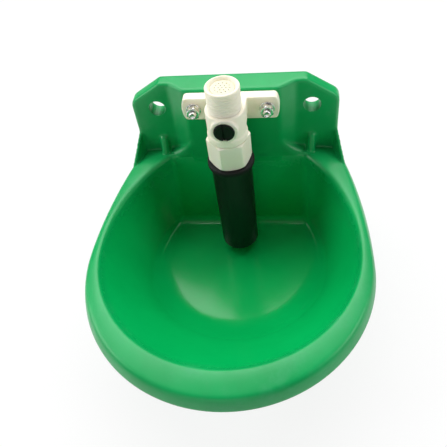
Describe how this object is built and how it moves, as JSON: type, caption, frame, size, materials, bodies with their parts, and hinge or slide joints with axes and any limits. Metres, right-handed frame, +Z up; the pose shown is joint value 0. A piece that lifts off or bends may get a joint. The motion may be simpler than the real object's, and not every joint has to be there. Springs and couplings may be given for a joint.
{
  "type": "livestock drinking bowl with push tube valve",
  "caption": "Wall-hung moulded drinking bowl for livestock with a push tube valve bolted to its back plate.",
  "frame": {"origin": "midway between the two wall screw holes, on the wall plane", "axes": "+Z up, +Y into the wall, X along the wall"},
  "size_m": [0.181, 0.202, 0.1495],
  "materials": {
    "green_plastic": "satin",
    "cream_plastic": "satin",
    "black_plastic": "satin",
    "grey_plastic": "matte",
    "black_rubber": "matte",
    "plated_steel": "bright plated",
    "stainless_steel": "drawn wire"
  },
  "bodies": {
    "root": {"bowl": "green_plastic", "valve_body": "cream_plastic", "inlet_strainer": "cream_plastic", "strainer_gauze": "stainless_steel", "seat_insert": "grey_plastic", "seat_o_ring": "black_rubber", "valve_spring": "stainless_steel", "retaining_sleeve": "grey_plastic", "guard_ring": "black_rubber", "union_nut": "cream_plastic", "flange_screws": "plated_steel", "screw_back_washers": "plated_steel", "screw_front_washers": "plated_steel", "screw_nuts": "plated_steel"},
    "swivel": {"swivel_washer": "grey_plastic"},
    "tube": {"tube_head": "grey_plastic", "push_tube": "black_plastic"},
    "poppet_group": {"poppet": "grey_plastic", "poppet_seal": "black_rubber"},
    "screw_ring": {"flow_screw_o_ring": "black_rubber"},
    "screw": {"flow_screw": "black_plastic"}
  },
  "joints": [
    {"name": "tube_swivel", "type": "hinge", "parent": "root", "child": "swivel", "pos_m": [0, -0.0465, -0.01], "axis": [0, 0, 1], "continuous": true},
    {"name": "tube_tilt", "type": "hinge", "parent": "swivel", "child": "tube", "pos_m": [0, -0.0556, -0.0096], "axis": [1, 0, 0], "range_deg": [0, 5], "stiffness_Nm_per_rad": 1, "springref_deg": -2.86},
    {"name": "poppet_lift", "type": "slide", "parent": "root", "child": "poppet_group", "axis": [0, 0, 1], "range_m": [0, 0.0009], "deforming": ["valve_spring"]},
    {"name": "flow_screw_feed", "type": "slide", "parent": "root", "child": "screw_ring", "axis": [0, 1, 0], "range_m": [0, 0.00225]},
    {"name": "flow_screw_turn", "type": "hinge", "parent": "screw_ring", "child": "screw", "pos_m": [0, -0.055, 0.0192], "axis": [0, 1, 0], "range_deg": [0, 540]}
  ],
  "couplings": [
    {"joint": "poppet_lift", "follows": "tube_tilt", "m_per_rad": 0.0091},
    {"joint": "flow_screw_turn", "follows": "flow_screw_feed", "rad_per_m": 4188.8}
  ]
}
